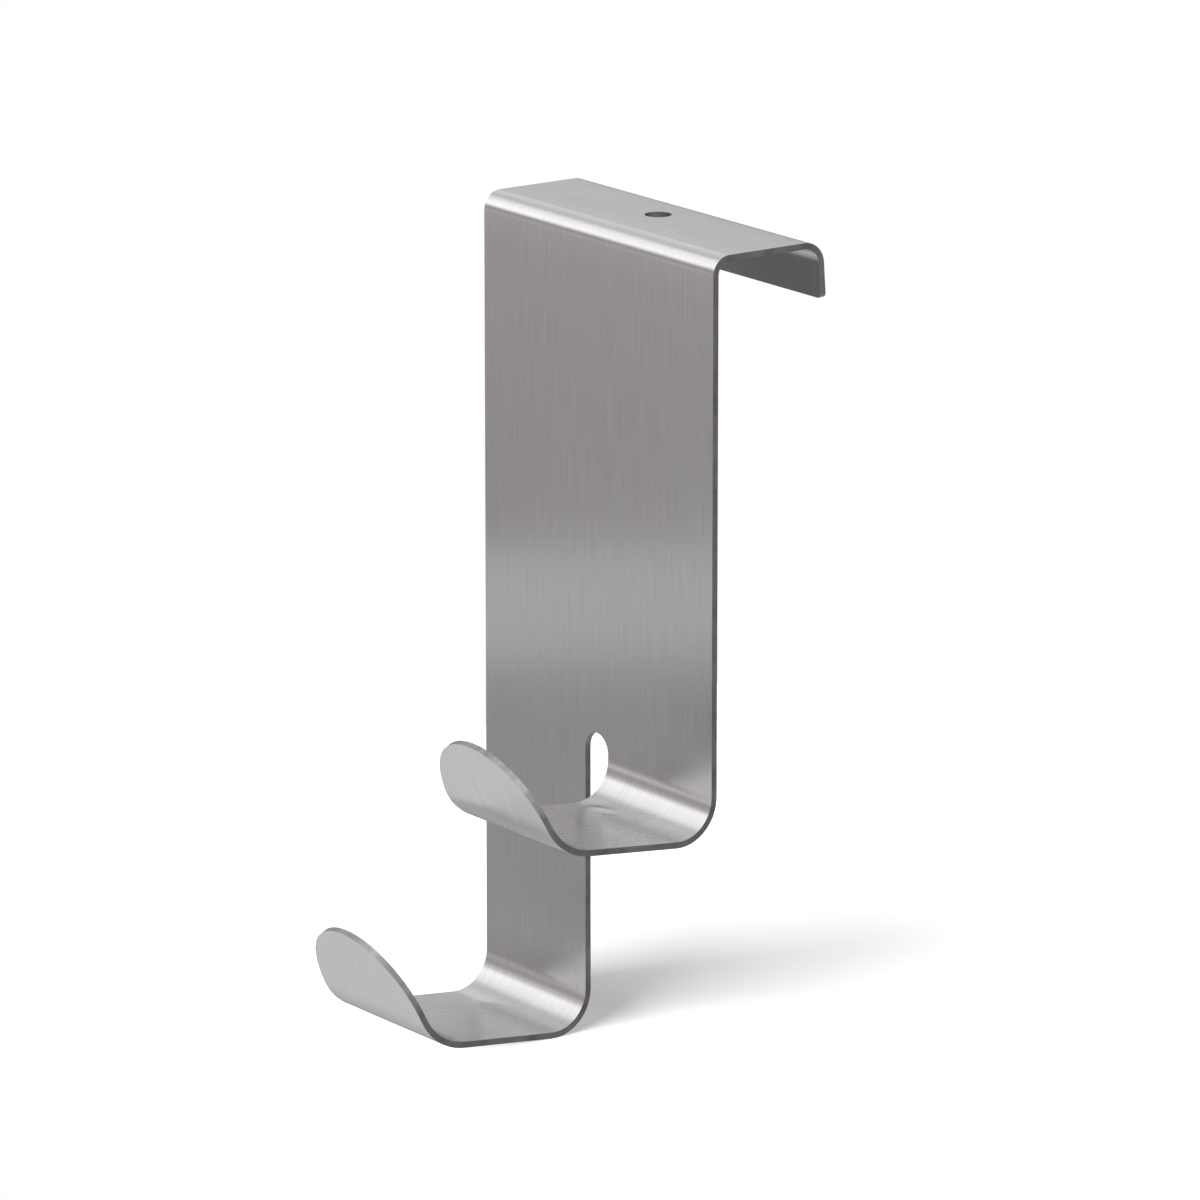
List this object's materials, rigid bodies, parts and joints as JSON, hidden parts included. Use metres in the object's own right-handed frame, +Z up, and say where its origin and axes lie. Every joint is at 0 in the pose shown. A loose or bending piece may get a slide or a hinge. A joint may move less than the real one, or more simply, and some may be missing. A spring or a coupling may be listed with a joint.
{
  "type": "over door hook",
  "caption": "Bent sheet steel hook that hangs over a cabinet door's top edge, its strap slit into an upper and a lower tongue, each curled forward into a round-tipped hook.",
  "frame": {"origin": "axis of the screw hole at the underside of the top plate, the face that rests on the door's top edge", "axes": "+Z up, +Y towards the back leg, on the far side of the door, -Y towards the hooks, X across the strip with the upper hook at +X"},
  "size_m": [0.06, 0.0584, 0.1305],
  "materials": {
    "brushed_sheet": "brushed stainless sheet, satin, grain along the strip"
  },
  "bodies": {
    "root": {"door_hook": "brushed_sheet"}
  },
  "joints": []
}
